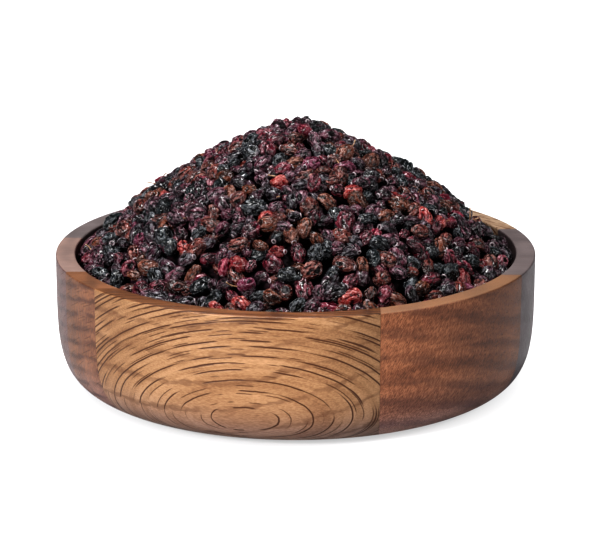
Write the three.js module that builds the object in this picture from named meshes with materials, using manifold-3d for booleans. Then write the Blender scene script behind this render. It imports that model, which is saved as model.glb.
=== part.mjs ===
// A round turned wooden bowl, filled and heaped up with loose dried black barberries.
// The bowl is glued up from upright blocks of wood round a floor board and turned. Each block,
// the board and the heap of berries is a mesh of its own.
// Units are millimetres. +Z is up, -Y is the front, and the origin is the centre of the foot.

import * as THREE from "three";
import { mergeVertices } from "three/addons/utils/BufferGeometryUtils.js";
import Module from "manifold-3d";

const wasm = await Module();
wasm.setup();

// Driving dimensions of the bowl
const bowlRadius = 90;
const bowlHeight = 50;
const wallThickness = 7.3;
const floorThickness = 8;
const floorRadius = 58; // the floor board, and where the outside starts to lift off the table
const wallFoot = 43; // height where the upright wall ends and the outside rounds in
const outsideFullness = 4.4; // exponent of the outside's rounded corner, where 2 is an ellipse
const hollowFullness = 3.2; // the same for the corner inside
const rimBevel = 0.7;
const turningSteps = 60; // flats round the bowl
const fittingGap = 0.3; // between neighbouring pieces

// The glue joints between the blocks are upright planes. Those on the two sides run from left to
// right and are placed by their y, and those at the front and back are placed by their x.
const frontJoint = 29.4;
const leftJoints = [-54.6, -33, 14];
const rightJoints = [-37, 26.7];
const backJoints = [-35, 30];

// Driving dimensions of the heap
const heapTop = 95.4; // height of the middles of the topmost berries
const heapSlope = 0.74; // rise over run of the flank
const heapRounding = 26; // the point of the heap is rounded out to about this radius
const edgeDrop = 6; // the heap rolls off by this much at the wall
const edgeWidth = 30; // over this width
const coreDepth = 1.2; // the packed core lies this far under the middles of the top berries
const coreRoughness = 1.2; // and goes up and down by this much between them
const coreRings = 6;
const coreSteps = 18;
const berryCount = 260;
const shortestBerry = 6.6;
const longestBerry = 9.8;
const slimmestBerry = 0.64; // width over length
const roundestBerry = 0.82;
const deepestShrivel = 0.94; // corners of a berry stand out from its oval by these factors
const fullestShrivel = 1.12;
const stalkCount = 14;
const stalkLength = 7;
const stalkThickness = 0.9;
const bareTop = 20; // no stalks within this radius of the middle
const seed = 7;

// Repeatable random numbers from 0 to 1
function randomSource(state) {
  return () => {
    state = (state + 0x6d2b79f5) | 0;
    let mixed = Math.imul(state ^ (state >>> 15), 1 | state);
    mixed = (mixed + Math.imul(mixed ^ (mixed >>> 7), 61 | mixed)) ^ mixed;
    return ((mixed ^ (mixed >>> 14)) >>> 0) / 2 ** 32;
  };
}

function between(low, high, share) {
  return low + (high - low) * share;
}

// Merges the shared corners of a closed geometry
function welded(geometry) {
  const plain = geometry.clone();
  plain.deleteAttribute("normal");
  plain.deleteAttribute("uv");
  return mergeVertices(plain, 1e-3);
}

// Turns a closed geometry into a solid that can be joined and cut
function solidFrom(geometry) {
  const closed = welded(geometry);
  const mesh = new wasm.Mesh({
    numProp: 3,
    vertProperties: closed.getAttribute("position").array,
    triVerts: new Uint32Array(closed.index.array),
  });
  return new wasm.Manifold(mesh);
}

function geometryFrom(solid) {
  const mesh = solid.getMesh();
  const geometry = new THREE.BufferGeometry();
  geometry.setAttribute("position", new THREE.BufferAttribute(mesh.vertProperties, 3));
  geometry.setIndex(new THREE.BufferAttribute(mesh.triVerts, 1));
  return geometry.toNonIndexed();
}

// A body turned about Z, from an outline of [radius, height] points
function turned(outline, steps) {
  const points = outline.map(([radius, height]) => new THREE.Vector2(radius, height));
  const geometry = new THREE.LatheGeometry(points, steps);
  geometry.rotateX(Math.PI / 2);
  return geometry;
}

// A quarter of a superellipse from [radius, top], upright, to [radius - across, top - down], level
function roundedCorner(radius, top, across, down, fullness, steps) {
  const points = [];
  for (let i = 0; i <= steps; i++) {
    const angle = (i / steps) * (Math.PI / 2);
    points.push([
      radius - across + across * Math.abs(Math.cos(angle)) ** (2 / fullness),
      top - down * Math.abs(Math.sin(angle)) ** (2 / fullness),
    ]);
  }
  return points;
}

// The wall and floor of the bowl
const hollowRadius = bowlRadius - wallThickness;
const hollowCornerSteps = 7;
const outsideCornerSteps = 9;

// The inside of the wall, from the rim down to the floor board, or the same set in by a gap
function hollowOutline(gap) {
  const radius = hollowRadius - gap;
  const top = bowlHeight - rimBevel;
  const down = top - floorThickness - gap;
  return roundedCorner(radius, top, radius - floorRadius, down, hollowFullness, hollowCornerSteps);
}

function bowlRing() {
  const across = bowlRadius - floorRadius;
  const outside = roundedCorner(
    bowlRadius,
    wallFoot,
    across,
    wallFoot,
    outsideFullness,
    outsideCornerSteps,
  );
  return turned(
    [
      [bowlRadius - rimBevel, bowlHeight],
      [hollowRadius + rimBevel, bowlHeight],
      ...hollowOutline(0),
      ...outside.reverse(),
      [bowlRadius, bowlHeight - rimBevel],
      [bowlRadius - rimBevel, bowlHeight],
    ],
    turningSteps,
  );
}

// Everything that stands on a plan of [x, y] corners
function standingOn(corners) {
  const shape = new THREE.Shape(corners.map(([x, y]) => new THREE.Vector2(x, y)));
  const geometry = new THREE.ExtrudeGeometry(shape, { depth: bowlHeight * 2, bevelEnabled: false });
  return solidFrom(geometry.translate(0, 0, -bowlHeight / 2));
}

function rectangle(left, front, right, back) {
  return [[left, front], [right, front], [right, back], [left, back]];
}

// The ring of the wall with its glue joints sawn out
const beyond = bowlRadius + 10; // past the outside of the bowl

function sawnRing() {
  const half = fittingGap / 2;
  const cuts = [
    rectangle(frontJoint - half, -beyond, frontJoint + half, 0),
    ...leftJoints.map((y) => rectangle(-beyond, y - half, 0, y + half)),
    ...rightJoints.map((y) => rectangle(0, y - half, beyond, y + half)),
    ...backJoints.map((x) => rectangle(x - half, 0, x + half, beyond)),
  ];
  return solidFrom(bowlRing()).subtract(wasm.Manifold.union(cuts.map(standingOn)));
}

const [leftFront, leftMiddle, leftBack] = leftJoints;
const [rightFront, rightBack] = rightJoints;
const [backFrom, backTo] = backJoints;
const plans = {
  front: [
    [-beyond, -beyond],
    [frontJoint, -beyond],
    [frontJoint, 0],
    [0, 0],
    [0, leftFront],
    [-beyond, leftFront],
  ],
  frontLeft: rectangle(-beyond, leftFront, 0, leftMiddle),
  left: rectangle(-beyond, leftMiddle, 0, leftBack),
  backLeft: rectangle(-beyond, leftBack, backFrom, beyond),
  back: rectangle(backFrom, 0, backTo, beyond),
  backRight: rectangle(backTo, rightBack, beyond, beyond),
  right: rectangle(0, rightFront, beyond, rightBack),
  frontRight: rectangle(frontJoint, -beyond, beyond, rightFront),
};
const blocks = [
  { name: "bowl_block_front", plan: plans.front, color: 0xb07a4c },
  { name: "bowl_block_front_left", plan: plans.frontLeft, color: 0x99704f },
  { name: "bowl_block_left", plan: plans.left, color: 0x8f6450 },
  { name: "bowl_block_back_left", plan: plans.backLeft, color: 0x746061 },
  { name: "bowl_block_back", plan: plans.back, color: 0x85604c },
  { name: "bowl_block_back_right", plan: plans.backRight, color: 0xa88668 },
  { name: "bowl_block_right", plan: plans.right, color: 0x6b5651 },
  { name: "bowl_block_front_right", plan: plans.frontRight, color: 0x8a5540 },
];

function floorBoard() {
  const radius = floorRadius - fittingGap;
  return turned([[0, 0], [radius, 0], [radius, floorThickness], [0, floorThickness]], turningSteps);
}

// The shape of the heap
function heapLumps(x, y) {
  const broad = 0.9 * Math.sin(0.075 * x + 1.1) * Math.cos(0.09 * y - 0.4);
  const narrow = 0.6 * Math.sin(0.16 * x - 0.12 * y + 2.3);
  return broad + narrow;
}

// Height of the middles of the top layer of berries
function heapHeight(x, y) {
  const radius = Math.hypot(x, y);
  const flank = heapSlope * (Math.hypot(radius, heapRounding) - heapRounding);
  const edge = edgeDrop * THREE.MathUtils.smoothstep(radius, hollowRadius - edgeWidth, hollowRadius);
  return heapTop - flank - edge + heapLumps(x, y);
}

function heapNormal(x, y) {
  const step = 0.5;
  return new THREE.Vector3(
    (heapHeight(x - step, y) - heapHeight(x + step, y)) / (2 * step),
    (heapHeight(x, y - step) - heapHeight(x, y + step)) / (2 * step),
    1,
  ).normalize();
}

// Places spread evenly over the heap: each is the loneliest of a few random tries
function berryPlaces(random) {
  const tries = 30;
  const reach = hollowRadius - shortestBerry / 2;
  const places = [];
  for (let i = 0; i < berryCount; i++) {
    let loneliest = null;
    let widestGap = -1;
    for (let k = 0; k < tries; k++) {
      const radius = reach * Math.sqrt(random());
      const angle = 2 * Math.PI * random();
      const place = new THREE.Vector2(radius * Math.cos(angle), radius * Math.sin(angle));
      const gap = Math.min(Infinity, ...places.map((other) => place.distanceTo(other)));
      if (gap > widestGap) {
        widestGap = gap;
        loneliest = place;
      }
    }
    places.push(loneliest);
  }
  return places;
}

// Each berry lies along the heap, turned any way and tipped up or down a little. Those by the
// wall are drawn in until they clear it.
function berryAt(place, random) {
  const half = between(shortestBerry, longestBerry, random()) / 2;
  const width = half * between(slimmestBerry, roundestBerry, random());
  const turn = 2 * Math.PI * random();
  const tip = between(-0.3, 0.5, random());
  const normal = heapNormal(place.x, place.y);
  const along = new THREE.Vector3(Math.cos(turn), Math.sin(turn), 0).projectOnPlane(normal);
  along.normalize().multiplyScalar(Math.cos(tip)).addScaledVector(normal, Math.sin(tip));
  const across = new THREE.Vector3().crossVectors(normal, along).normalize();
  const up = new THREE.Vector3().crossVectors(along, across);
  const outward = new THREE.Vector3(place.x, place.y, 0).normalize();
  const reach = Math.hypot(
    half * along.dot(outward),
    width * across.dot(outward),
    width * up.dot(outward),
  );
  const wall = hollowRadius * Math.cos(Math.PI / turningSteps) - fittingGap;
  const radius = Math.min(place.length(), wall - reach * fullestShrivel);
  const middle = outward.multiplyScalar(radius).setZ(heapHeight(place.x, place.y));
  return { middle, along, across, up, half, width };
}

// An oval with its corners drawn in and out, as the skin shrivels in drying
function berryBody(berry, random) {
  const geometry = welded(new THREE.IcosahedronGeometry(1));
  const position = geometry.getAttribute("position");
  const corner = new THREE.Vector3();
  for (let i = 0; i < position.count; i++) {
    corner.fromBufferAttribute(position, i);
    corner.multiplyScalar(between(deepestShrivel, fullestShrivel, random()));
    position.setXYZ(i, corner.x * berry.half, corner.y * berry.width, corner.z * berry.width);
  }
  const pose = new THREE.Matrix4().makeBasis(berry.along, berry.across, berry.up);
  return geometry.applyMatrix4(pose.setPosition(berry.middle));
}

// A bit of dry stalk, rooted in the end of its berry and leaning away from the heap
function stalk(berry, random) {
  const root = 1.5;
  const normal = heapNormal(berry.middle.x, berry.middle.y);
  const direction = berry.along.clone().addScaledVector(normal, between(0.1, 0.6, random()));
  direction.normalize();
  const geometry = new THREE.CylinderGeometry(
    stalkThickness / 2,
    stalkThickness / 2,
    stalkLength,
    4,
  );
  geometry.translate(0, stalkLength / 2 - root, 0);
  const turn = new THREE.Quaternion().setFromUnitVectors(new THREE.Vector3(0, 1, 0), direction);
  geometry.applyQuaternion(turn);
  const end = berry.middle.clone().addScaledVector(berry.along, berry.half * 0.8);
  return geometry.translate(end.x, end.y, end.z);
}

// The packed berries under the top layer, from the floor board up to the heap's rough top
function heapCore(random) {
  const outline = [[0, floorThickness + fittingGap], ...hollowOutline(fittingGap).reverse()];
  const edgeRadius = outline[outline.length - 1][0];
  const lowestTop = heapHeight(edgeRadius, 0) - heapLumps(edgeRadius, 0) - coreDepth;
  const below = outline.filter(([, height]) => height < lowestTop - coreRoughness);
  const top = [];
  for (let i = coreRings; i >= 0; i--) {
    const radius = (edgeRadius * i) / coreRings;
    top.push([radius, heapHeight(radius, 0) - heapLumps(radius, 0) - coreDepth]);
  }
  const geometry = welded(turned([...below, ...top], coreSteps));
  const position = geometry.getAttribute("position");
  for (let i = 0; i < position.count; i++) {
    const [x, y, height] = [position.getX(i), position.getY(i), position.getZ(i)];
    if (height > lowestTop - coreRoughness / 2) {
      const rough = coreRoughness * (random() - 0.5);
      position.setZ(i, height + heapLumps(x, y) + rough);
    }
  }
  return geometry;
}

function heap() {
  const random = randomSource(seed);
  const berries = berryPlaces(random).map((place) => berryAt(place, random));
  const stalked = berries.filter(({ middle, along, half }) => {
    const tip = middle.clone().addScaledVector(along, half + stalkLength);
    return Math.hypot(tip.x, tip.y) < hollowRadius && Math.hypot(middle.x, middle.y) > bareTop;
  });
  const bodies = [
    heapCore(random),
    ...berries.map((berry) => berryBody(berry, random)),
    ...stalked.slice(0, stalkCount).map((berry) => stalk(berry, random)),
  ];
  const joined = wasm.Manifold.union(bodies.map(solidFrom));
  const parts = joined.decompose();
  return parts.reduce((largest, part) => (part.volume() > largest.volume() ? part : largest));
}

// The pieces
const group = new THREE.Group();

function addPiece(name, geometry, color, roughness) {
  const material = new THREE.MeshStandardMaterial({ color, roughness, metalness: 0 });
  const mesh = new THREE.Mesh(geometry, material);
  mesh.name = name;
  group.add(mesh);
}

const ring = sawnRing();
for (const { name, plan, color } of blocks) {
  addPiece(name, geometryFrom(ring.intersect(standingOn(plan))), color, 0.5);
}
addPiece("bowl_floor_board", geometryFrom(solidFrom(floorBoard())), 0x93694d, 0.5);
addPiece("barberry_heap", geometryFrom(heap()), 0x2a1a22, 0.4);

export default group;
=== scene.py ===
import math
import random

import bpy
import numpy as np
from mathutils import Matrix, Vector


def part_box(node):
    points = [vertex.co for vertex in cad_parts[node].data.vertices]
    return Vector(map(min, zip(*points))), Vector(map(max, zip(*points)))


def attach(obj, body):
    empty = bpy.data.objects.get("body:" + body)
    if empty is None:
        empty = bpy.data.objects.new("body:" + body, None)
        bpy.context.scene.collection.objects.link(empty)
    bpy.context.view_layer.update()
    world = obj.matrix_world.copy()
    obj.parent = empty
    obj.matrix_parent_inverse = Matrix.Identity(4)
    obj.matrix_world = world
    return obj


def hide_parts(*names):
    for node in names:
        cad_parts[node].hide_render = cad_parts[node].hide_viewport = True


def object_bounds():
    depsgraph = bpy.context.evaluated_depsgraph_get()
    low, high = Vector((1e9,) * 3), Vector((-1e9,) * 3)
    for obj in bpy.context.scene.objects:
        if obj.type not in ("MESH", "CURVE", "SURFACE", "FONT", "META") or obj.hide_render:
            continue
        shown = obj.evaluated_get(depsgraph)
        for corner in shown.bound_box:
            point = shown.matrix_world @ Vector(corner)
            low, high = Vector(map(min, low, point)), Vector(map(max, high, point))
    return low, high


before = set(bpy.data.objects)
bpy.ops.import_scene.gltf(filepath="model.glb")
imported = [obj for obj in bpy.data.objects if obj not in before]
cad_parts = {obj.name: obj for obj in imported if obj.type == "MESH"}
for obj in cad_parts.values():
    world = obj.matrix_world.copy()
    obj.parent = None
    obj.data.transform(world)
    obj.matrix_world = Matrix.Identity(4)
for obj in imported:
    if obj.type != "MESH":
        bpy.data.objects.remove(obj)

cadLow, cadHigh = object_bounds()
mm = 0.001
print("frame loaded", [round(v / mm, 1) for v in (*cadLow, *cadHigh)])


# Wiring of shader nodes

def plug(tree, socket, value):
    if isinstance(value, bpy.types.NodeSocket):
        tree.links.new(value, socket)
    elif value is not None:
        socket.default_value = value


def newGroup(name, **inputs):
    # an input without a value is a vector
    group = bpy.data.node_groups.new(name, "ShaderNodeTree")
    for label, value in inputs.items():
        kind = "NodeSocketVector" if value is None else "NodeSocketFloat"
        socket = group.interface.new_socket(label, in_out="INPUT", socket_type=kind)
        if value is not None:
            socket.default_value = value
    return group, group.nodes.new("NodeGroupInput").outputs


def closeGroup(group, **results):
    for label, value in results.items():
        kind = "NodeSocketVector" if value.type == "VECTOR" else "NodeSocketFloat"
        group.interface.new_socket(label, in_out="OUTPUT", socket_type=kind)
    ends = group.nodes.new("NodeGroupOutput").inputs
    for label, value in results.items():
        plug(group, ends[label], value)
    return group


def useGroup(tree, group, **values):
    node = tree.nodes.new("ShaderNodeGroup")
    node.node_tree = group
    for label, value in values.items():
        plug(tree, node.inputs[label], value)
    return node.outputs


def wire(tree, kind, inputs, output=0, **settings):
    # a new node with its settings and inputs, and the output that is asked for
    node = tree.nodes.new(f"ShaderNode{kind}")
    for label, value in settings.items():
        setattr(node, label, value)
    for label, value in inputs.items() if isinstance(inputs, dict) else enumerate(inputs):
        plug(tree, node.inputs[label], value)
    return node.outputs if output is None else node.outputs[output]


def maths(tree, operation, *values):
    return wire(tree, "Math", values, operation=operation)


def times(tree, first, *others):
    for value in others:
        first = maths(tree, "MULTIPLY", first, value)
    return first


def plus(tree, first, *others):
    for value in others:
        first = maths(tree, "ADD", first, value)
    return first


def minus(tree, first, second):
    return maths(tree, "SUBTRACT", first, second)


def over(tree, first, second):
    return maths(tree, "DIVIDE", first, second)


def timesPlus(tree, first, second, third):
    return maths(tree, "MULTIPLY_ADD", first, second, third)


def vectors(tree, operation, *values):
    output = "Value" if operation == "LENGTH" else "Vector"
    return wire(tree, "VectorMath", values, output, operation=operation)


def scaled(tree, vector, amount):
    return wire(tree, "VectorMath", {"Vector": vector, "Scale": amount}, operation="SCALE")


def split(tree, vector):
    return wire(tree, "SeparateXYZ", [vector], None)


def rotated(tree, vector, axis, angle):
    return wire(tree, "VectorRotate", {"Vector": vector, "Angle": angle}, rotation_type=f"{axis}_AXIS")


def inMillimetres(tree):
    return scaled(tree, wire(tree, "TexCoord", {}, "Object"), 1 / mm)


def spread(tree, value, low, high, newLow=0.0, newHigh=1.0):
    limits = {"From Min": low, "From Max": high, "To Min": newLow, "To Max": newHigh}
    return wire(tree, "MapRange", {"Value": value, **limits}, interpolation_type="SMOOTHSTEP")


def noise(tree, vector, scale, detail=2.0, roughness=0.5, dimensions="3D", output=0):
    where = "W" if dimensions == "1D" else "Vector"
    return wire(tree, "TexNoise", {where: vector, "Scale": scale, "Detail": detail, "Roughness": roughness},
                output, noise_dimensions=dimensions)


def mixColour(tree, share, *colours, blend="MIX"):
    first, second = (c if isinstance(c, bpy.types.NodeSocket) else (*c, 1) for c in colours)
    return wire(tree, "Mix", {0: share, 6: first, 7: second}, 2, data_type="RGBA", blend_type=blend)


def ramp(tree, value, stops):
    node = tree.nodes.new("ShaderNodeValToRGB")
    band = node.color_ramp
    while len(band.elements) < len(stops):
        band.elements.new(0.5)
    for element, (place, colour) in zip(band.elements, stops):
        element.position = place
        element.color = (*colour, 1)
    plug(tree, node.inputs[0], value)
    return node.outputs[0]


def newMaterial(name, specular):
    material = bpy.data.materials.new(name)
    material.use_nodes = True
    tree = material.node_tree
    shader = tree.nodes["Principled BSDF"]
    shader.inputs["Specular IOR Level"].default_value = specular
    return material, tree, shader


def addBump(tree, shader, height, strength, depth):
    bump = wire(tree, "Bump", {"Strength": strength, "Distance": depth * mm, "Height": height})
    plug(tree, shader.inputs["Normal"], bump)


# Objects and modes

def newObject(name, data):
    made = bpy.data.objects.new(name, data)
    bpy.context.scene.collection.objects.link(made)
    return made


def setMode(mode):
    bpy.ops.object.mode_set(mode=mode)


def startFresh():
    if bpy.context.mode != "OBJECT":
        setMode("OBJECT")
    bpy.ops.object.select_all(action="DESELECT")


def faceOutward():
    bpy.ops.mesh.select_all(action="SELECT")
    bpy.ops.mesh.normals_make_consistent(inside=False)


# Camera, light and floor

view = {
    "lens": 150,            # seen from about a metre away with a long lens
    "sensor": 36,
    "distance": 944.4 * mm,
    "elevation": 16.07,
    "aim": Vector((1.64, 0, 40.57)) * mm,
}


def addCamera():
    tilt = math.radians(view["elevation"])
    back = Vector((0, -math.cos(tilt), math.sin(tilt)))
    data = bpy.data.cameras.new("camera")
    data.lens = view["lens"]
    data.sensor_width = view["sensor"]
    data.clip_end = 50
    camera = newObject("camera", data)
    camera.location = view["aim"] + back * view["distance"]
    camera.rotation_euler = (math.pi / 2 - tilt, 0, 0)
    bpy.context.scene.camera = camera


studio = {
    "surround": 0.07,       # even white light from all round
    "paper": (0.62, 0.62, 0.63),
    "seenPaper": (0.30, 0.30, 0.31),
    "glow": 0.70,           # the paper is lit through from below, for the camera alone
    "shade": (66, 93, 0.42),    # painted shadow: the glow is less under the bowl, from and to in mm, and how little
    "lamps": [             # name, place in metres, size, watts
        ("softboxLeft", (-0.70, -0.80, 0.55), 0.2, 11.6),
        ("softboxTop", (-0.12, 0.12, 1.1), 0.16, 11.6),
        ("softboxRight", (0.8, -0.3, 0.55), 0.25, 3.2),
    ],
}


def addLights():
    scene = bpy.context.scene
    scene.view_settings.view_transform = "Standard"
    scene.view_settings.look = "High Contrast"
    world = bpy.data.worlds.new("whiteStudio")
    world.use_nodes = True
    background = world.node_tree.nodes["Background"]
    background.inputs["Color"].default_value = (1, 1, 1, 1)
    background.inputs["Strength"].default_value = studio["surround"]
    scene.world = world
    for name, place, size, watts in studio["lamps"]:
        data = bpy.data.lights.new(name, "AREA")
        data.size = size
        data.energy = watts
        lamp = newObject(name, data)
        lamp.location = place
        lamp.rotation_euler = (view["aim"] - Vector(place)).to_track_quat("-Z", "Y").to_euler()


def addFloor():
    startFresh()
    bpy.ops.mesh.primitive_plane_add(size=12, location=(0, 0, 0))
    floor = bpy.context.object
    floor.name = "studio_floor"
    material, tree, shader = newMaterial("palePaper", specular=0.1)
    shader.inputs["Roughness"].default_value = 0.9
    shader.inputs["Emission Color"].default_value = (1, 1, 1, 1)
    seen = wire(tree, "LightPath", {}, "Is Camera Ray")
    plug(tree, shader.inputs["Base Color"], mixColour(tree, seen, studio["paper"], studio["seenPaper"]))
    # a painted shadow round the bowl's foot: the glow fades towards the middle
    radius = vectors(tree, "LENGTH", inMillimetres(tree))
    near, far, least = studio["shade"]
    glow = spread(tree, radius, near, far, studio["glow"] * least, studio["glow"])
    plug(tree, shader.inputs["Emission Strength"], times(tree, glow, seen))
    floor.data.materials.append(material)


addCamera()
addLights()
addFloor()
print("studio ready")


# Wood. Lengths inside these groups are in millimetres.

bowlRadius = cadHigh.x / mm


def buildGrowthLayers():
    # how deep under the bark side a point lies, following the bowed layers of the tree
    group, given = newGroup("growthLayers", Turn=0, Bow=0.011, Lift=0, Lean=0, Wobble=0.5, Eye=12)
    place = inMillimetres(group)
    back = times(group, given["Turn"], -1)
    local = rotated(group, place, "Z", back)
    normal = rotated(group, wire(group, "NewGeometry", {}, "Normal"), "Z", back)
    across, inward, height = split(group, local)
    raised = minus(group, plus(group, height, given["Lift"]), times(group, across, given["Lean"]))
    bow = times(group, raised, raised, given["Bow"])
    broad = minus(group, noise(group, local, 0.035, 1), 0.5)
    narrow = minus(group, noise(group, local, 0.13, 1), 0.5)
    wobble = times(group, timesPlus(group, broad, 3, narrow), given["Wobble"])
    slope = wire(group, "CombineXYZ", [0, 1, times(group, raised, given["Bow"], 2)])
    steepness = vectors(group, "LENGTH", vectors(group, "CROSS_PRODUCT", slope, normal))
    upward = split(group, normal)[2]
    return closeGroup(
        group,
        Depth=plus(group, inward, bowlRadius, bow, wobble),
        Around=maths(group, "ARCTAN2", minus(group, height, given["Eye"]), across),
        Steepness=maths(group, "MAXIMUM", steepness, 0.12),
        Local=local,
        Top=spread(group, upward, 0.55, 0.85),
        # the downward-facing share, where painted shade and painted floor reflection tint the wood
        Under=spread(group, upward, -0.02, -0.6),
        Side=split(group, place)[0])


def buildPoreStreaks():
    # long thin open pores that lie in the layers, each layer with its own
    group, given = newGroup("poreStreaks", Depth=0, Around=0, Steepness=1, Gap=1.5, Width=0.4, Length=9,
                            Sparse=0.5, Seed=0)
    layer = plus(group, over(group, given["Depth"], given["Gap"]), given["Seed"])
    index = maths(group, "FLOOR", layer)
    chance = wire(group, "TexWhiteNoise", {"W": index}, "Value", noise_dimensions="1D")
    centre = timesPlus(group, chance, 0.5, 0.25)
    apart = maths(group, "ABSOLUTE", minus(group, maths(group, "FRACT", layer), centre))
    away = over(group, times(group, apart, given["Gap"]), given["Steepness"])
    sweep = timesPlus(group, index, times(group, given["Gap"], 1.3), 8)
    travel = over(group, times(group, given["Around"], sweep), given["Length"])
    start = timesPlus(group, chance, 71.3, travel)
    closer = spread(group, given["Depth"], 1, 9, 0.16, 0)     # more of them round the eye
    rarely = minus(group, given["Sparse"], closer)
    there = spread(group, noise(group, start, 1, 0, dimensions="1D"), rarely,
                   plus(group, rarely, 0.14))
    half = times(group, times(group, given["Width"], 0.5), there)
    line = spread(group, minus(group, half, away), -0.12, 0.1)
    return closeGroup(group, Streaks=times(group, line, there))


def buildSoftBands():
    # paler and darker layers, some wide and some narrow
    group, given = newGroup("softBands", Depth=0, Gap=3, Seed=0)
    layer = plus(group, over(group, given["Depth"], given["Gap"]), given["Seed"])
    value = noise(group, layer, 0.8, 2, 0.55, dimensions="1D")
    return closeGroup(group, Bands=spread(group, value, 0.3, 0.7))


def buildWoodFibre():
    # short fine strokes along the fibres
    group, given = newGroup("woodFibre", Local=None, Tilt=0, Length=8, Width=0.6, Rise=0.6)
    turned = rotated(group, given["Local"], "Y", given["Tilt"])
    size = wire(group, "CombineXYZ", [given["Length"], given["Width"], given["Rise"]])
    strokes = noise(group, vectors(group, "DIVIDE", turned, size), 1, 3, 0.6)
    return closeGroup(group, Fibre=spread(group, strokes, 0.28, 0.72))


def buildSaggingFigure():
    # dark smoky bands that hang across a block like a slack rope
    group, given = newGroup("saggingFigure", Lowest=0, Curve=0.0025, Start=0, Gap=10, Width=0.2, Ragged=1)
    place = inMillimetres(group)
    side, _, height = split(group, place)
    across = minus(group, side, given["Lowest"])
    sag = times(group, across, across, given["Curve"])
    rough = noise(group, vectors(group, "MULTIPLY", place, (0.12, 0.12, 0.3)), 1, 3, 0.6)
    level = minus(group, minus(group, height, sag), given["Start"])
    level = plus(group, level, times(group, minus(group, rough, 0.5), given["Ragged"]))
    turns = over(group, level, given["Gap"])
    away = maths(group, "ABSOLUTE", minus(group, turns, maths(group, "ROUND", turns)))
    band = spread(group, away, times(group, given["Width"], 0.15), given["Width"], 1, 0)
    patches = noise(group, vectors(group, "MULTIPLY", place, (0.07, 0.07, 0.2)), 1, 2, 0.6)
    return closeGroup(group, Figure=times(group, band, spread(group, patches, 0.32, 0.6, 0.25, 1)))


growthLayers = buildGrowthLayers()
poreStreaks = buildPoreStreaks()
softBands = buildSoftBands()
woodFibre = buildWoodFibre()
saggingFigure = buildSaggingFigure()


def woodMaterial(name, wood):
    material, tree, shader = newMaterial(name, specular=0.3)
    layers = useGroup(tree, growthLayers, Turn=math.radians(wood["turn"]), Bow=wood["bow"],
                      Lift=wood["lift"], Lean=wood["lean"], Wobble=wood["wobble"])
    bands = useGroup(tree, softBands, Depth=layers["Depth"], Gap=wood["bandGap"],
                     Seed=wood["seed"])["Bands"]
    length, width, rise = wood["fibreSize"]
    fibre = useGroup(tree, woodFibre, Local=layers["Local"], Tilt=math.radians(wood["fibreTilt"]),
                     Length=length, Width=width, Rise=rise)["Fibre"]
    drawnOut = vectors(tree, "MULTIPLY", layers["Local"], (0.03, 0.1, 0.1))
    clouds = spread(tree, noise(tree, drawnOut, 1, 1, 0.5), 0.3, 0.7)
    tone = timesPlus(tree, bands, wood["bandShare"],
                 timesPlus(tree, fibre, wood["fibreShare"],
                       times(tree, clouds, 1 - wood["bandShare"] - wood["fibreShare"])))
    colour = ramp(tree, tone, [(0.1, wood["dark"]), (0.5, wood["middle"]), (0.9, wood["light"])])
    lowest, curve, start, gap, thickness, ragged, strength = wood["figure"]
    figure = useGroup(tree, saggingFigure, Lowest=lowest, Curve=curve, Start=start, Gap=gap,
                      Width=thickness, Ragged=ragged)["Figure"]
    colour = mixColour(tree, times(tree, figure, strength), colour, wood["smoke"])
    height = times(tree, fibre, 0.3)
    for gap, width, length, sparse, strength in wood["pores"]:
        streaks = useGroup(tree, poreStreaks, Depth=layers["Depth"], Around=layers["Around"],
                           Steepness=layers["Steepness"], Gap=gap, Width=width, Length=length,
                           Sparse=sparse, Seed=wood["seed"] + gap)["Streaks"]
        share = times(tree, streaks, strength)
        colour = mixColour(tree, share, colour, wood["pore"])
        height = minus(tree, height, share)
    # darker towards the sides by x: painted shade where the wall turns from the lamps, partly the wood's own
    # darker tone
    for near, far, dark in wood["shade"]:
        darker = spread(tree, layers["Side"], near, far, 0, dark)
        colour = mixColour(tree, darker, colour, (0, 0, 0))
    # painted shade and painted reflection of the floor on the downward-facing wall
    foot = mixColour(tree, 1.0, colour, wood["under"], blend="MULTIPLY")
    colour = mixColour(tree, layers["Under"], colour, foot)
    rim = mixColour(tree, 1.0, colour, wood["rim"], blend="MULTIPLY")
    if "wash" in wood:
        wash, share = wood["wash"]
        rim = mixColour(tree, share, rim, wash)
    plug(tree, shader.inputs["Base Color"], mixColour(tree, layers["Top"], colour, rim))
    plug(tree, shader.inputs["Roughness"], spread(tree, fibre, 0, 1, *wood["roughness"]))
    addBump(tree, shader, height, 0.35, 0.3)
    return material


goldenWood = {            # flat-sawn, with rings round an eye low on the wall and long dark pores
    "turn": -12.8, "bow": 0.0112, "lift": 2.3, "lean": 0.086, "wobble": 0.35, "seed": 3.0,
    "bandGap": 2.2, "bandShare": 0.32, "fibreShare": 0.42,
    "fibreTilt": 0, "fibreSize": (1.9, 0.4, 0.4),
    "dark": (0.25, 0.120, 0.056), "middle": (0.385, 0.212, 0.105), "light": (0.52, 0.305, 0.165),
    "pore": (0.085, 0.030, 0.012), "roughness": (0.36, 0.5),
    # gap between layers, width and length of a streak, how sparse, how dark
    "pores": [(2.3, 0.50, 32, 0.40, 1.0), (1.37, 0.34, 16, 0.50, 0.85)],
    # x where the bands hang lowest, curve, height, gap, width, how ragged, how dark
    "figure": (-58, 0.0025, 12.3, 10.3, 0.13, 6, 0.6), "smoke": (0.17, 0.075, 0.035),
    "shade": [(2, 32, 0.36), (-15, -68, 0.26)],     # x from, x to, how much darker: painted shade where the wall turns from the lamps, partly the wood's own tone
    "under": (0.76, 0.87, 1.3), "rim": (0.46, 0.36, 0.31),      # how the foot is tinted with painted shade and painted floor reflection, and how the rim is tinted
}
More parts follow.
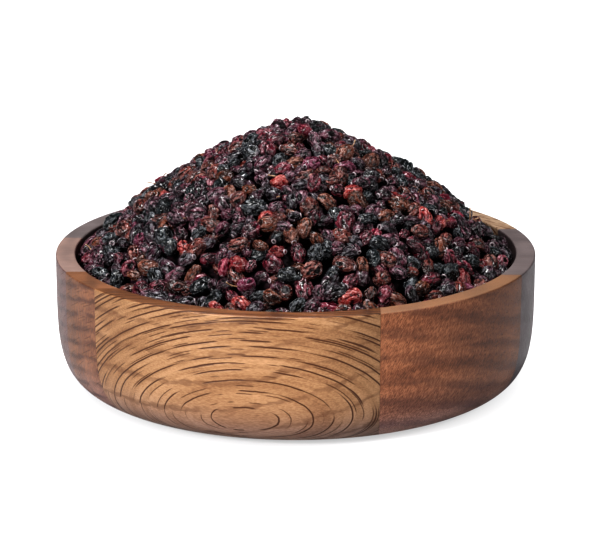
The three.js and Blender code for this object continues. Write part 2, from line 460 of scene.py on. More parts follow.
walnut = {                # red-brown, with soft dark bands
    "turn": 30, "bow": 0.0112, "lift": 50, "lean": 0, "wobble": 0.8, "seed": 11.0,
    "bandGap": 7, "bandShare": 0.14, "fibreShare": 0.66,
    "fibreTilt": 58, "fibreSize": (1.8, 0.36, 0.36),
    "dark": (0.115, 0.043, 0.022), "middle": (0.242, 0.096, 0.048), "light": (0.41, 0.182, 0.092),
    "pore": (0.05, 0.02, 0.012), "roughness": (0.36, 0.5),
    "pores": [(2.3, 0.30, 5, 0.6, 0.5)],
    "figure": (15, -0.0044, 35.2, 8.6, 0.36, 5, 0.54), "smoke": (0.07, 0.026, 0.019),
    "shade": [(32, 86, 0.50)],
    "under": (1.2, 1.7, 2.8), "rim": (0.95, 1.0, 0.85), "wash": ((0.29, 0.18, 0.115), 0.45),
}
leftWalnut = {**walnut, "turn": 0, "seed": 23.0, "fibreTilt": 0, "fibreSize": (14, 0.5, 2.6),
              "dark": (0.07, 0.038, 0.034), "middle": (0.12, 0.068, 0.062), "light": (0.17, 0.10, 0.09),
              "pores": [(2.6, 0.35, 16, 0.5, 0.5)], "figure": (15, -0.0023, 46.3, 5.4, 0.30, 4, 0.7),
              "smoke": (0.05, 0.028, 0.03), "shade": [], "under": (0.95, 1.05, 1.2), "rim": (1.5, 1.6, 1.5),
              "wash": ((0.32, 0.24, 0.21), 0.4)}
frontLeftWood = {**leftWalnut, "seed": 27.0, "fibreSize": (14, 0.4, 2.0),
                 "dark": (0.10, 0.042, 0.023), "middle": (0.18, 0.08, 0.045), "light": (0.28, 0.135, 0.075),
                 "figure": (15, -0.0023, 46.3, 5.4, 0.30, 4, 0.75), "smoke": (0.06, 0.025, 0.018),
                 "shade": [(-74, -84, 0.25)], "under": (1.1, 1.4, 2.1), "rim": (1.0, 0.9, 0.75),
                 "wash": ((0.21, 0.12, 0.07), 0.3)}
# the right block, seen at a glancing angle: its grey is partly painted reflection of the pale surround over
# a browner wood
greyWood = {**walnut, "turn": 0, "bow": 0.004, "lift": 30, "seed": 31.0,
            "fibreTilt": 0, "fibreSize": (12, 0.5, 2.4), "bandShare": 0.2, "fibreShare": 0.5,
            "dark": (0.044, 0.033, 0.034), "middle": (0.072, 0.055, 0.058), "light": (0.110, 0.085, 0.087),
            "pores": [(2.6, 0.35, 14, 0.52, 0.35)], "figure": (15, -0.0044, 35.2, 8.6, 0.36, 4, 0.3),
            "smoke": (0.030, 0.021, 0.021), "shade": [], "under": (0.92, 0.92, 0.98),
            "rim": (1.6, 1.65, 1.55), "wash": ((0.16, 0.135, 0.135), 0.4)}
backGreyWood = {**greyWood, "seed": 43.0,
                "dark": (0.085, 0.068, 0.066), "middle": (0.13, 0.105, 0.103), "light": (0.18, 0.15, 0.147),
                "rim": (1.0, 1.0, 1.0)}
backWalnut = {**walnut, "turn": 183, "lean": -0.1, "seed": 57.0, "shade": [], "under": (0.9, 0.98, 1.2)}
paleWood = {**goldenWood, "turn": 137, "lean": -0.05, "seed": 61.0,
            "dark": (0.25, 0.16, 0.10), "middle": (0.34, 0.235, 0.16), "light": (0.43, 0.31, 0.215),
            "rim": (1.0, 1.0, 1.0), "under": (0.85, 0.87, 0.98), "shade": []}
boardWood = {**walnut, "turn": 0, "bow": 0.002, "lift": 300, "seed": 71.0, "fibreTilt": 0,
             "fibreSize": (9, 0.45, 0.45), "shade": [], "under": (0.9, 0.95, 1.1)}


# The bowl

bowl = {
    "wall": 7.3,
    "floor": 8.0,
    "board": 58.0,          # radius of the floor board
    "boardBevel": 0.4,
    "wallFoot": 43.0,       # the wall is upright above this height
    "outsideFullness": 4.4,
    "hollowFullness": 3.2,
    "rimBevel": 0.7,
    "smoothBelow": 35,      # edges sharper than this many degrees stay sharp
    "seam": 0.03,           # half of a glue joint
    "stepAngle": 1.5,
    "joints": {             # upright planes: axis, place, and the side of the bowl they are on
        "front": ("x", 29.4, -1),
        "leftFront": ("y", -54.6, -1),
        "leftMiddle": ("y", -33.0, -1),
        "leftBack": ("y", 14.0, -1),
        "rightFront": ("y", -37.0, 1),
        "rightBack": ("y", 26.7, 1),
        "backLeft": ("x", -35.0, 1),
        "backRight": ("x", 30.0, 1),
    },
    # node, turned from and to in degrees from the front, then sawn below one joint and above another
    "blocks": [
        ("bowl_block_front", -54, 32, ["leftFront", "front"], [], "golden_wood", goldenWood),
        ("bowl_block_front_left", -70, -19, ["leftMiddle"], ["leftFront"], "red_brown_wood", frontLeftWood),
        ("bowl_block_left", -105.5, -54, ["leftBack"], ["leftMiddle"], "red_brown_wood", leftWalnut),
        ("bowl_block_back_left", 202, 262.5, ["backLeft"], ["leftBack"], "grey_brown_wood", backGreyWood),
        ("bowl_block_back", 148, 218, ["backRight"], ["backLeft"], "red_brown_wood", backWalnut),
        ("bowl_block_back_right", 106.5, 161.5, [], ["rightBack", "backRight"], "pale_wood", paleWood),
        ("bowl_block_right", 49.5, 118.5, ["rightBack"], ["rightFront"], "grey_brown_wood", greyWood),
        ("bowl_block_front_right", 18, 67, ["rightFront"], ["front"], "red_brown_wood", walnut),
    ],
}
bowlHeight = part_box("bowl_block_front")[1].z / mm
hollowRadius = bowlRadius - bowl["wall"]


def roundedCorner(radius, top, across, down, fullness, steps):
    points = []
    for i in range(steps + 1):
        angle = math.pi / 2 * i / steps
        points.append((radius - across + across * abs(math.cos(angle)) ** (2 / fullness),
                       top - down * abs(math.sin(angle)) ** (2 / fullness)))
    return points


def roundedEdge(corner, radius, start, steps=4):
    # a quarter circle round a corner, from one side of it to the other
    return [(corner[0] + radius * math.cos(start + math.pi / 2 * i / steps),
             corner[1] + radius * math.sin(start + math.pi / 2 * i / steps)) for i in range(steps + 1)]


def wallOutline():
    bevel = bowl["rimBevel"]
    top = bowlHeight - bevel
    inside = roundedCorner(hollowRadius, top, hollowRadius - bowl["board"], top - bowl["floor"],
                           bowl["hollowFullness"], 18)
    outside = roundedCorner(bowlRadius, bowl["wallFoot"], bowlRadius - bowl["board"], bowl["wallFoot"],
                            bowl["outsideFullness"], 30)
    outerRim = roundedEdge((bowlRadius - bevel, top), bevel, 0)
    innerRim = roundedEdge((hollowRadius + bevel, top), bevel, math.pi / 2)
    return outerRim + innerRim + inside[1:] + outside[::-1][:-1] + [(bowlRadius, bowl["wallFoot"])]


def finishPiece(piece, node, material):
    piece.data.materials.append(material)
    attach(piece, "root")
    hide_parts(node)


def finishWood(piece, node, wood):
    bpy.ops.object.shade_smooth_by_angle(angle=math.radians(bowl["smoothBelow"]))
    piece.name = node + "_wood"
    finishPiece(piece, node, woodMaterial(node + "_grain", wood))


def saw(block, joint, keepBelow):
    # cuts along a joint, on that joint's side of the bowl only
    axis, place, side = bowl["joints"][joint]
    other = 0 if axis == "y" else 1
    for vertex in block.data.vertices:
        vertex.select = vertex.co[other] * side > 0
    setMode("EDIT")
    place += -bowl["seam"] if keepBelow else bowl["seam"]
    along = Vector((0, 1, 0)) if axis == "y" else Vector((1, 0, 0))
    bpy.ops.mesh.bisect(plane_co=along * place * mm, plane_no=along, use_fill=True,
                        clear_outer=keepBelow, clear_inner=not keepBelow)
    setMode("OBJECT")


def addBlock(node, start, end, below, above, slotName, wood):
    # the outline is drawn point by point, filled, spun past both glue joints and sawn off there
    startFresh()
    angle = math.radians(start)
    outline = [Vector((math.sin(angle) * r, -math.cos(angle) * r, z)) * mm for r, z in wallOutline()]
    bpy.ops.mesh.primitive_plane_add(size=mm, location=(0, 0, 0))
    block = bpy.context.object
    setMode("EDIT")
    bpy.ops.mesh.merge(type="CENTER")
    bpy.ops.transform.translate(value=outline[0])
    for here, there in zip(outline, outline[1:]):
        bpy.ops.mesh.extrude_region_move(TRANSFORM_OT_translate={"value": there - here})
    bpy.ops.mesh.select_all(action="SELECT")
    bpy.ops.mesh.edge_face_add()
    bpy.ops.mesh.spin(steps=round((end - start) / bowl["stepAngle"]), angle=-math.radians(end - start),
                      center=(0, 0, 0), axis=(0, 0, 1))
    bpy.ops.mesh.select_all(action="SELECT")
    bpy.ops.mesh.remove_doubles(threshold=1e-6)
    setMode("OBJECT")
    for joint in below:
        saw(block, joint, True)
    for joint in above:
        saw(block, joint, False)
    setMode("EDIT")
    faceOutward()
    setMode("OBJECT")
    finishWood(block, node, wood)


def addFloorBoard():
    startFresh()
    radius = bowl["board"] - bowl["seam"] * 2
    bpy.ops.mesh.primitive_cylinder_add(vertices=180, radius=radius * mm, depth=bowl["floor"] * mm,
                                        location=(0, 0, bowl["floor"] / 2 * mm))
    board = bpy.context.object
    bpy.ops.object.transform_apply(location=True)
    bevel = board.modifiers.new("edge", "BEVEL")
    bevel.width = bowl["boardBevel"] * mm
    bevel.segments = 3
    bevel.limit_method = "ANGLE"
    bpy.ops.object.modifier_apply(modifier=bevel.name)
    finishWood(board, "bowl_floor_board", boardWood)


for block in bowl["blocks"]:
    addBlock(*block)
addFloorBoard()
print("bowl turned")


# Where the berries lie. The top layer lies where the frame's berries do, and more fill its gaps.

heap = {
    "top": 95.4,            # height of the middles of the topmost berries
    "slope": 0.74,
    "rounding": 26.0,
    "edgeDrop": 6.0,
    "edgeWidth": 30.0,
    "topLayer": 260,
    "fillers": 480,
    "length": (6.6, 9.8),
    "ratio": (0.64, 0.82),  # width over length
    "slimmer": 0.94,        # the wrinkled berries are this much narrower than their ovals
    "tip": (-0.3, 0.5),
    "wallGap": 0.4,
    "spare": 1.12,          # room for the dents to bulge
    "fillerLength": (5.2, 9.3),
    "fillerSink": (0.0, 1.2),
    "wallRow": 84,          # along the wall, to close the ring there
    "wallSink": (0.3, 2.4),
    "deeper": 340,          # seen between the others
    "deeperSink": (2.6, 3.6),
    "seed": 7,
    "accents": [            # a few berries that stand out: x and y of their places, and skin
        (-3, -32, "red"), (-10, -45, "red"), (-41, -49, "red"), (-50, -12, "red"), (22, -32, "red"),
        (47, -32, "red"), (-18, -74, "red"), (19, -74, "red"), (-25, -59, "crimson"), (29, -46, "crimson"),
        (61, -48, "magenta"), (6, -22, "magenta"), (-14, -69, "magenta"), (43, -41, "maroon"),
        (5, -63, "maroon"), (-60, -43, "brown"), (-39, -58, "brown"), (3, -54, "brown"), (-11, -52, "brown"),
        (49, -38, "brown"), (14, -39, "brown"), (2, -24, "brown"), (-26, -33, "brown"), (24, -62, "brown"),
    ],
}


def drawsFrom(state):
    # the frame's own repeatable draws, so that both put the berries in the same places
    whole = 0xFFFFFFFF
    while True:
        state = (state + 0x6D2B79F5) & whole
        mixed = ((state ^ state >> 15) * (1 | state)) & whole
        mixed = (mixed + (((mixed ^ mixed >> 7) * (61 | mixed)) & whole) & whole) ^ mixed
        yield (mixed ^ mixed >> 14) / 2 ** 32


def between(limits, share):
    return limits[0] + (limits[1] - limits[0]) * share


def heapLumps(x, y):
    return (0.9 * math.sin(0.075 * x + 1.1) * math.cos(0.09 * y - 0.4)
            + 0.6 * math.sin(0.16 * x - 0.12 * y + 2.3))


def heapHeight(x, y):
    radius = math.hypot(x, y)
    flank = heap["slope"] * (math.hypot(radius, heap["rounding"]) - heap["rounding"])
    rolled = min(1, max(0, (radius - hollowRadius) / heap["edgeWidth"] + 1))
    edge = heap["edgeDrop"] * rolled * rolled * (3 - 2 * rolled)
    return heap["top"] - flank - edge + heapLumps(x, y)


def heapNormal(x, y):
    step = 0.5
    return Vector((heapHeight(x - step, y) - heapHeight(x + step, y),
                   heapHeight(x, y - step) - heapHeight(x, y + step), 2 * step)).normalized()


def berryPlaces(draws, count, places, tries=30):
    # each place is the loneliest of a few tries
    reach = hollowRadius - heap["length"][0] / 2
    places = list(places)
    for _ in range(count):
        loneliest, widest = None, -1
        for _ in range(tries):
            radius = reach * math.sqrt(next(draws))
            angle = 2 * math.pi * next(draws)
            place = (radius * math.cos(angle), radius * math.sin(angle))
            gap = 1e9
            if places:
                gap = np.hypot(*(np.array(places) - place).T).min()
            if gap > widest:
                loneliest, widest = place, gap
        places.append(loneliest)
    return places


def berryAt(place, draws, length, sink=0.0, deep=False):
    half = between(length, next(draws)) / 2
    width = half * between(heap["ratio"], next(draws))
    turn = 2 * math.pi * next(draws)
    tip = between(heap["tip"], next(draws))
    normal = heapNormal(*place)
    along = Vector((math.cos(turn), math.sin(turn), 0))
    along = (along - normal * along.dot(normal)).normalized()
    along = along * math.cos(tip) + normal * math.sin(tip)
    across = normal.cross(along).normalized()
    up = along.cross(across)
    outward = Vector((*place, 0)).normalized()
    reach = Vector((half * along.dot(outward), width * across.dot(outward),
                    width * up.dot(outward))).length
    radius = min(math.hypot(*place), hollowRadius - heap["wallGap"] - reach * heap["spare"])
    middle = outward * radius
    middle.z = heapHeight(*place) - sink
    return {"middle": middle, "axes": (along, across, up), "half": half,
            "width": width * heap["slimmer"], "deep": deep}


def layBerries():
    draws = drawsFrom(heap["seed"])
    top = berryPlaces(draws, heap["topLayer"], [])
    laid = [berryAt(place, draws, heap["length"]) for place in top]
    more = drawsFrom(heap["seed"] + 1)

    def add(place, length, sink, deep):
        laid.append(berryAt(place, more, heap[length], between(heap[sink], next(more)), deep))

    for place in berryPlaces(more, heap["fillers"], top, 60)[len(top):]:
        add(place, "fillerLength", "fillerSink", False)
    for number in range(heap["wallRow"]):
        angle = 2 * math.pi * (number + 0.6 * next(more)) / heap["wallRow"]
        place = (hollowRadius * math.cos(angle), hollowRadius * math.sin(angle))
        add(place, "fillerLength", "wallSink", True)
    for place in berryPlaces(more, heap["deeper"], []):
        add(place, "length", "deeperSink", True)
    return laid


berries = layBerries()
print("berries laid", len(berries))


# One dried berry, pressed in and wrinkled

berry = {
    "shapes": 18,
    "faces": 920,
    "deepShapes": 5,        # plainer ones, for the layer below
    "deepFaces": 260,
    "squash": 0.72,         # width over length while it is wrinkled
    "dish": (0.15, 0.75),   # how deep one side is pressed in
    "dishSize": (0.75, 1.1),
    "dents": (2, 4),
    "dentDepth": (0.08, 0.25),
    "dentSize": (0.35, 0.7),
    # texture, its size against half a berry, how high, stretched along the berry
    "wrinkles": [("folds", 0.62, -0.17, 2.0), ("creases", 0.30, -0.10, 1.8), ("crinkles", 0.17, -0.04, 1.4)],
    "rough": (0.35, 1.15),  # some berries are smoother than others
    "ridgeRounds": 14,
}


def points(mesh):
    spots = np.empty(len(mesh.vertices) * 3)
    mesh.vertices.foreach_get("co", spots)
    return spots.reshape(-1, 3)


def storeNumbers(mesh, label, values):
    store = mesh.attributes.new(label, "FLOAT", "POINT")
    store.data.foreach_set("value", np.asarray(values, np.float32))


def pressIn(shape, away, depth, size):
    setMode("OBJECT")
    for vertex in shape.data.vertices:
        vertex.select = vertex.co.normalized().dot(away) > 0.99
    setMode("EDIT")
    bpy.ops.transform.translate(value=-away * depth, use_proportional_edit=True,
                                proportional_edit_falloff="SMOOTH", proportional_size=size)
    bpy.ops.mesh.select_all(action="DESELECT")


def wrinkle(shape, label, size, strength, stretch, number):
    texture = bpy.data.textures.new(f"{label}{number}", "MUSGRAVE")
    texture.musgrave_type = "RIDGED_MULTIFRACTAL"
    texture.noise_basis = "IMPROVED_PERLIN"
    texture.noise_scale = size
    texture.octaves = 1
    texture.offset = 1
    guide = newObject("guide", None)   # stretches the texture along the berry
    guide.location = (number * 3.7, number * 1.3, number * 2.1)
    guide.scale = (stretch, 1, 1)
    bpy.context.view_layer.update()
    push = shape.modifiers.new(label, "DISPLACE")
    push.texture = texture
    push.texture_coords = "OBJECT"
    push.texture_coords_object = guide
    push.strength = strength
    bpy.ops.object.modifier_apply(modifier=push.name)
    bpy.data.objects.remove(guide)


def ridgeHeight(mesh):
    # how far each point stands out from the skin around it
    ends = np.empty(len(mesh.edges) * 2, np.int32)
    mesh.edges.foreach_get("vertices", ends)
    ends = ends.reshape(-1, 2)
    spots = points(mesh)
    around = spots
    joined = np.bincount(ends.ravel(), minlength=len(spots))
    for _ in range(berry["ridgeRounds"]):
        total = np.zeros_like(spots)
        np.add.at(total, ends[:, 0], around[ends[:, 1]])
        np.add.at(total, ends[:, 1], around[ends[:, 0]])
        around = total / joined[:, None]
    normals = np.empty(len(spots) * 3)
    mesh.vertices.foreach_get("normal", normals)
    height = ((spots - around) * normals.reshape(-1, 3)).sum(1)
    low, high = np.percentile(height, (5, 95))
    return np.clip((height - low) / (high - low), 0, 1)


def dryBerry(number, faces, rnd):
    startFresh()
    bpy.ops.mesh.primitive_ico_sphere_add(subdivisions=5, radius=1, location=(0, 0, 0))
    shape = bpy.context.object
    shape.name = f"dryBerry{number}"
    setMode("EDIT")
    side = rnd.uniform(0, 2 * math.pi)
    away = Vector((rnd.uniform(-0.3, 0.3), math.cos(side), math.sin(side))).normalized()
    pressIn(shape, away, rnd.uniform(*berry["dish"]), rnd.uniform(*berry["dishSize"]))
    for _ in range(rnd.randint(*berry["dents"])):
        away = Vector((rnd.uniform(-1, 1), rnd.gauss(0, 1), rnd.gauss(0, 1))).normalized()
        pressIn(shape, away, rnd.uniform(*berry["dentDepth"]), rnd.uniform(*berry["dentSize"]))
    bpy.ops.mesh.select_all(action="SELECT")
    bpy.ops.transform.resize(value=(1, berry["squash"], berry["squash"]))
    setMode("OBJECT")
    rough = rnd.uniform(*berry["rough"])
    for label, size, strength, stretch in berry["wrinkles"]:
        wrinkle(shape, label, size, strength * rough, stretch, number)
    storeNumbers(shape.data, "ridge", ridgeHeight(shape.data))
    fewer = shape.modifiers.new("fewer", "DECIMATE")
    fewer.ratio = faces / len(shape.data.polygons)
    bpy.ops.object.modifier_apply(modifier=fewer.name)
    # back to a ball of radius 1, for each berry to be given its own length and width
    spots = points(shape.data)
    middle = (spots.max(0) + spots.min(0)) / 2
    reach = (spots.max(0) - spots.min(0)) / 2
    shape.data.transform(Matrix.Diagonal((*(1 / reach), 1)) @ Matrix.Translation(Vector(-middle)))
    bpy.ops.object.shade_smooth()
    store = shape.data.attributes.new("own", "FLOAT_VECTOR", "POINT")     # the skin's own coordinates
    store.data.foreach_set("vector", points(shape.data).astype(np.float32).ravel())
    return shape


# Skin

def buildBerrySkin():
    # creases with painted shade, pale ridges with painted highlights, blotches, and dust with painted sheen,
    # in each berry's own coordinates
    group, given = newGroup("berrySkin", Own=None, Ridge=0.5, Berry=0)
    place = vectors(group, "ADD", given["Own"], scaled(group, (31, 17, 23), given["Berry"]))
    bend = vectors(group, "SUBTRACT", noise(group, place, 1.6, 1, output="Color"), (0.5, 0.5, 0.5))
    place = vectors(group, "ADD", place, scaled(group, bend, 0.45))
    drawnOut = vectors(group, "MULTIPLY", place, (1.7, 3.4, 3.4))
    edges = wire(group, "TexVoronoi", {"Vector": drawnOut, "Scale": 1}, "Distance",
                 feature="DISTANCE_TO_EDGE")
    network = spread(group, edges, 0.0, 0.17, 1, 0)
    fine = noise(group, vectors(group, "MULTIPLY", place, (3.5, 8, 8)), 1, 2, 0.6)
    patches = spread(group, noise(group, place, 1.5, 2, 0.6), 0.38, 0.62)
    outside = spread(group, given["Ridge"], 0.25, 0.8)
    amount = timesPlus(group, given["Berry"], 0.7, 0.3)
    crests = spread(group, given["Ridge"], 0.62, 0.95)
    ridges = maths(group, "MAXIMUM", times(group, network, outside), crests)
    return closeGroup(
        group,
        Crease=spread(group, timesPlus(group, fine, 0.25, given["Ridge"]), 0.2, 0.78),
        Ridges=times(group, ridges, patches, amount),
        Blotch=spread(group, noise(group, place, 0.9, 1, 0.5), 0.45, 0.62),
        Dust=times(group, spread(group, fine, 0.45, 0.75), outside, amount),
        Height=timesPlus(group, network, 0.7, times(group, fine, 0.4)))


berrySkin = buildBerrySkin()


def skinMaterial(name, skin):
    material, tree, shader = newMaterial(name, specular=0.5)
    own, ridge, number = (wire(tree, "Attribute", {}, output, attribute_name=label) for label, output
                          in (("own", "Vector"), ("ridge", "Fac"), ("berry", "Fac")))
    look = useGroup(tree, berrySkin, Own=own, Ridge=ridge, Berry=number)
    colour = mixColour(tree, number, skin["one"], skin["other"])
    blotch = times(tree, look["Blotch"], skin["blotchShare"])
    colour = mixColour(tree, blotch, colour, skin["blotch"])
    # painted shade in the creases, towards near black
    colour = mixColour(tree, look["Crease"], skin["crease"], colour)
    # pale ridges: painted highlights along the crests, partly the skin's paler bloom
    colour = mixColour(tree, times(tree, look["Ridges"], skin["worn"]), colour, skin["ridge"])
    # pale grey on the raised skin: dust, partly painted sheen
    colour = mixColour(tree, times(tree, look["Dust"], skin["dusty"]), colour, skin["dust"])
    plug(tree, shader.inputs["Base Color"], colour)
    plug(tree, shader.inputs["Roughness"], spread(tree, look["Dust"], 0, 0.8, skin["shine"], 0.6))
    addBump(tree, shader, look["Height"], 1.0, 0.25)
    return material


def skin(share, one, other, blotch, ridge, worn, dust, dusty, shine, crease=0.12):
    return {"share": share, "one": one, "other": other, "blotch": blotch, "blotchShare": 0.75,
            "crease": tuple(c * crease for c in one), "ridge": ridge, "worn": worn, "dust": dust,
            "dusty": dusty, "shine": shine}


# share of the berries, two colours it lies between, blotches, ridges and how much painted highlight they
# carry, dust with painted sheen and how much of it, shine, and how much paler than black the painted crease
# shade is
skins = {
    "black": skin(0.20, (0.004, 0.003, 0.0042), (0.023, 0.017, 0.023), (0.055, 0.012, 0.025),
                  (0.28, 0.255, 0.28), 0.64, (0.37, 0.36, 0.38), 0.26, 0.2),
    "blueblack": skin(0.15, (0.0032, 0.0034, 0.0046), (0.015, 0.0162, 0.0195), (0.011, 0.018, 0.020),
                      (0.24, 0.25, 0.27), 0.64, (0.34, 0.35, 0.38), 0.28, 0.2),
    "plum": skin(0.26, (0.0075, 0.003, 0.0048), (0.047, 0.019, 0.029), (0.10, 0.016, 0.034),
                 (0.45, 0.28, 0.33), 0.6, (0.52, 0.42, 0.46), 0.2, 0.22),
    "wine": skin(0.14, (0.013, 0.0022, 0.0046), (0.072, 0.012, 0.020), (0.15, 0.013, 0.028),
                 (0.50, 0.22, 0.26), 0.6, (0.57, 0.38, 0.42), 0.16, 0.22),
    "maroon": skin(0.14, (0.012, 0.0036, 0.0036), (0.070, 0.018, 0.016), (0.15, 0.028, 0.021),
                   (0.50, 0.25, 0.21), 0.6, (0.6, 0.43, 0.41), 0.16, 0.24),
    "brown": skin(0.055, (0.022, 0.007, 0.005), (0.096, 0.029, 0.018), (0.15, 0.040, 0.018),
                  (0.50, 0.26, 0.20), 0.5, (0.62, 0.46, 0.41), 0.18, 0.24, 0.5),
    "red": skin(0.015, (0.10, 0.008, 0.012), (0.25, 0.026, 0.022), (0.14, 0.008, 0.018),
                (0.72, 0.34, 0.30), 0.5, (0.8, 0.55, 0.52), 0.16, 0.22, 0.35),
    "crimson": skin(0.015, (0.085, 0.004, 0.013), (0.20, 0.011, 0.034), (0.10, 0.005, 0.018),
                    (0.64, 0.26, 0.31), 0.5, (0.72, 0.46, 0.5), 0.16, 0.2, 0.35),
    "magenta": skin(0.015, (0.05, 0.005, 0.017), (0.125, 0.014, 0.040), (0.09, 0.007, 0.022),
                    (0.56, 0.29, 0.40), 0.45, (0.7, 0.5, 0.6), 0.14, 0.22, 0.35),
}


def joinAll(objects, name):
    startFresh()
    for piece in objects:
        piece.select_set(True)
    bpy.context.view_layer.objects.active = objects[0]
    if len(objects) > 1:
        bpy.ops.object.join()
    joined = bpy.context.object
    joined.name = name
    joined.data.name = name
    return joined


def finishBerries(piece, material):
    finishPiece(piece, "barberry_heap", material)


def tipsOf(mesh, change):
    # the two ends of a berry, in millimetres from its middle
    spots = points(mesh)
    ends = [Vector(spots[(spots[:, 0] * side) > 0.9].mean(0)) for side in (1, -1)]
    return sorted((change @ end for end in ends), key=lambda end: -end.x)


def addBerries():
    rnd = random.Random(21)
    shapes = [dryBerry(number, berry["faces"], rnd) for number in range(berry["shapes"])]
    plain = [dryBerry(number, berry["deepFaces"], rnd) for number in range(berry["deepShapes"])]
    print("berry shapes ready")
    kinds = list(skins)
    shares = [skins[kind]["share"] for kind in kinds]
    copies = {kind: [] for kind in kinds}
    accents = {}
    seen = berries[:heap["topLayer"] + heap["fillers"]]
    for x, y, kind in heap["accents"]:
        away = [math.hypot(laid["middle"].x - x, laid["middle"].y - y) - laid["half"] for laid in seen]
        accents[away.index(min(away))] = kind
    for number, laid in enumerate(berries):
        kind = accents.get(number) or rnd.choices(kinds, shares)[0]
        mesh = rnd.choice(plain if laid["deep"] else shapes).data.copy()
        storeNumbers(mesh, "berry", [0.9 if number in accents else rnd.random()] * len(mesh.vertices))
        along, across, up = laid["axes"]
        turn = Matrix((along, across, up)).transposed().to_4x4()
        spin = Matrix.Rotation(rnd.uniform(0, 2 * math.pi), 4, "X")
        flip = Matrix.Rotation(rnd.choice((0, math.pi)), 4, "Z")
        size = Matrix.Diagonal((laid["half"], laid["width"], laid["width"], 1))
        place = Matrix.Scale(mm, 4) @ Matrix.Translation(laid["middle"]) @ turn
        laid["tips"] = tipsOf(mesh, size @ spin @ flip)
        mesh.transform(place @ size @ spin @ flip)
        copies[kind].append(newObject("copy", mesh))
    for shape in shapes + plain:
        bpy.data.objects.remove(shape)
    for kind, group in copies.items():
        finishBerries(joinAll(group, f"berries_{kind}"), skinMaterial(f"skin_{kind}", skins[kind]))


addBerries()
print("berries wrinkled and coloured")


# Crowns, the pale rings that the flower leaves on a berry's end, and bits of stalk on the other

trim = {
    "crownShare": 0.62,
    "crownForward": 0.8,        # share of the crowns on the end that is nearer the front
    "crownRadius": (0.6, 0.95),
    "crownThickness": 0.36,     # of the radius
    "stalks": 14,               # the first ones stand where the frame's do
    "moreStalks": 16,
    "stalkShapes": 5,
    "stalkLength": (3.8, 6.0),
    "stalkRadius": 0.27,
    "stalkSteps": 6,
    "stalkStep": 3.2,           # of the radius
    "stalkBend": (0.08, 0.26),  # at each step
    "stalkTaper": 0.93,
    "stalkFlare": 1.35,         # at its end, where it broke off
    "stalkRoom": 7,             # from its berry to the wall
    "stalkRise": (0.1, 0.6),
    "bareTop": 20,
}


def trimMaterial(name, dark, light, scale):
    material, tree, shader = newMaterial(name, specular=0.3)
    mottle = spread(tree, noise(tree, inMillimetres(tree), scale, 2, 0.6), 0.32, 0.68)
    plug(tree, shader.inputs["Base Color"], mixColour(tree, mottle, dark, light))
    plug(tree, shader.inputs["Roughness"], spread(tree, mottle, 0, 1, 0.5, 0.7))
    return material


def placeCopies(shapes, places, name, material):
    copies = []
    for shape, place in places:
        mesh = shapes[shape].data.copy()
        mesh.transform(place)
        copies.append(newObject("copy", mesh))
    for shape in shapes:
        bpy.data.objects.remove(shape)
    finishBerries(joinAll(copies, name), material)


def standOn(laid, tip, direction, size):
    # millimetres, with z along the direction that is given in the berry's own axes
    along, across, up = laid["axes"]
    turn = Matrix((along, across, up)).transposed()
    spot = laid["middle"] + turn @ tip
    lean = (turn @ direction).to_track_quat("Z", "Y").to_matrix()
    return Matrix.Scale(mm, 4) @ Matrix.Translation(spot) @ lean.to_4x4() @ Matrix.Scale(size, 4)


def addCrowns():
    rnd = random.Random(5)
    startFresh()
    bpy.ops.mesh.primitive_torus_add(major_segments=8, minor_segments=4, major_radius=1,
                                     minor_radius=trim["crownThickness"], location=(0, 0, 0))
    ring = bpy.context.object
    bpy.ops.object.shade_smooth()
    places = []
    for laid in berries:
        if laid["deep"] or rnd.random() > trim["crownShare"]:
            continue
        front = laid["axes"][0].y > 0
        end = front if rnd.random() < trim["crownForward"] else not front
        outward = Vector((-1 if end else 1, 0, 0))
        size = rnd.uniform(*trim["crownRadius"])
        places.append((0, standOn(laid, laid["tips"][end] - outward * 0.1, outward, size)))
    placeCopies([ring], places, "berries_crowns",
                trimMaterial("skin_crowns", (0.16, 0.12, 0.13), (0.50, 0.43, 0.45), 0.9))


def bentStalk(number, rnd):
    startFresh()
    bpy.ops.mesh.primitive_circle_add(vertices=5, radius=1, fill_type="NGON", location=(0, 0, 0))
    shape = bpy.context.object
    shape.name = f"stalk{number}"
    setMode("EDIT")
    bpy.ops.mesh.select_all(action="SELECT")
    axis = rnd.choice(("X", "Y"))
    bend = rnd.uniform(*trim["stalkBend"]) * rnd.choice((1, -1))
    tip = Vector((0, 0, 0))
    heading = Vector((0, 0, 1))
    for step in range(trim["stalkSteps"]):
        move = heading * trim["stalkStep"]
        tip += move
        bpy.ops.mesh.extrude_region_move(TRANSFORM_OT_translate={"value": move})
        bpy.ops.transform.rotate(value=bend, orient_axis=axis, orient_type="GLOBAL", center_override=tip)
        heading.rotate(Matrix.Rotation(-bend, 3, axis))
        width = trim["stalkFlare" if step == trim["stalkSteps"] - 1 else "stalkTaper"]
        bpy.ops.transform.resize(value=(width, width, width), center_override=tip)
    faceOutward()
    setMode("OBJECT")
    bpy.ops.object.shade_smooth_by_angle(angle=math.radians(50))
    return shape


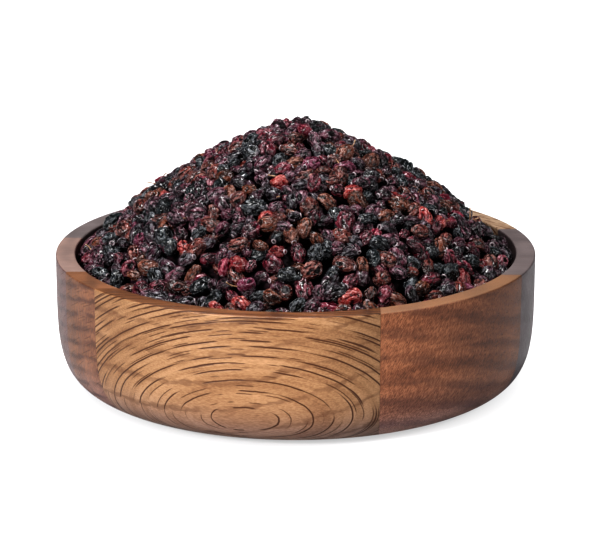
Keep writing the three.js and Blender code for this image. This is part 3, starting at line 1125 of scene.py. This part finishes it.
def addStalks():
    rnd = random.Random(9)
    shapes = [bentStalk(number, rnd) for number in range(trim["stalkShapes"])]
    top = berries[:heap["topLayer"]]
    free = []
    for laid in top:
        end = laid["middle"] + laid["axes"][0] * (laid["half"] + trim["stalkRoom"])
        if math.hypot(end.x, end.y) < hollowRadius and math.hypot(*laid["middle"].xy) > trim["bareTop"]:
            free.append(laid)
    chosen = free[:trim["stalks"]] + rnd.sample(free[trim["stalks"]:], trim["moreStalks"])
    whole = trim["stalkSteps"] * trim["stalkStep"] * trim["stalkRadius"]
    places = []
    for laid in chosen:
        normal = heapNormal(*laid["middle"].xy)
        rise = rnd.uniform(*trim["stalkRise"])
        direction = Vector([normal.dot(axis) * rise for axis in laid["axes"]]) + Vector((1, 0, 0))
        size = Matrix.Diagonal((1, 1, rnd.uniform(*trim["stalkLength"]) / whole, 1))
        stand = standOn(laid, laid["tips"][0] * 0.9, direction, trim["stalkRadius"])
        places.append((rnd.randrange(len(shapes)), stand @ size))
    placeCopies(shapes, places, "berries_stalks",
                trimMaterial("skin_stalks", (0.16, 0.075, 0.035), (0.46, 0.30, 0.18), 1.2))


addCrowns()
addStalks()
print("crowns and stalks added")


# Packed berries below the top layer, near black: their own dark skins and painted shade in the gaps between
# the top berries

core = {
    "depth": 4.5,           # under the middles of the top berries
    "lumps": 1.6,
    "lumpSize": 5.0,
    "gap": 0.3,
}


def packedMaterial():
    material, tree, shader = newMaterial("skin_packed", specular=0.1)
    mottle = spread(tree, noise(tree, inMillimetres(tree), 0.4, 3, 0.6), 0.35, 0.65)
    # near black, as painted shade seen between the top berries
    plug(tree, shader.inputs["Base Color"],
         ramp(tree, mottle, [(0.2, (0.002, 0.001, 0.0015)), (0.9, (0.016, 0.006, 0.009))]))
    plug(tree, shader.inputs["Roughness"], spread(tree, mottle, 0, 1, 0.9, 0.6))
    return material


def addCore():
    startFresh()
    bpy.ops.mesh.primitive_uv_sphere_add(segments=144, ring_count=120, radius=1, location=(0, 0, 0))
    packed = bpy.context.object
    packed.name = "berries_packed"
    inside = roundedCorner(hollowRadius - core["gap"], bowlHeight, hollowRadius - bowl["board"],
                           bowlHeight - bowl["floor"] - core["gap"], bowl["hollowFullness"], 30)
    edge = inside[0][0]
    rim = heapHeight(edge, 0) - heapLumps(edge, 0) - core["depth"]
    uneven = packed.vertex_groups.new(name="uneven")     # only the top, away from the wall
    for vertex in packed.data.vertices:
        spot = vertex.co
        flat = math.hypot(spot.x, spot.y)
        angle = math.atan2(spot.y, spot.x)
        turn = math.atan2(spot.z, flat) / (math.pi / 2)      # 1 at the top, -1 below
        if turn >= 0:
            radius = edge * (1 - turn)
            x, y = radius * math.cos(angle), radius * math.sin(angle)
            share = min(1, turn * 8)
            height = heapHeight(x, y) - core["depth"] - heapLumps(x, y) * (1 - share)
            uneven.add([vertex.index], share, "REPLACE")
        else:
            share = -turn * 2 if turn > -0.5 else 1
            place = share * (len(inside) - 1)
            low = min(int(place), len(inside) - 2)
            radius, height = (a + (b - a) * (place - low) for a, b in zip(inside[low], inside[low + 1]))
            height = min(height, rim)
            if turn < -0.5:
                radius *= (turn + 1) * 2
            x, y = radius * math.cos(angle), radius * math.sin(angle)
        vertex.co = Vector((x, y, height)) * mm
    texture = bpy.data.textures.new("packedLumps", "VORONOI")
    texture.noise_scale = core["lumpSize"] * mm
    push = packed.modifiers.new("lumps", "DISPLACE")
    push.texture = texture
    push.texture_coords = "LOCAL"
    push.vertex_group = uneven.name
    push.direction = "Z"
    push.strength = -core["lumps"] * mm
    push.mid_level = 0
    bpy.ops.object.modifier_apply(modifier=push.name)
    setMode("EDIT")
    faceOutward()
    setMode("OBJECT")
    bpy.ops.object.shade_smooth()
    finishBerries(packed, packedMaterial())


addCore()
print("core packed")
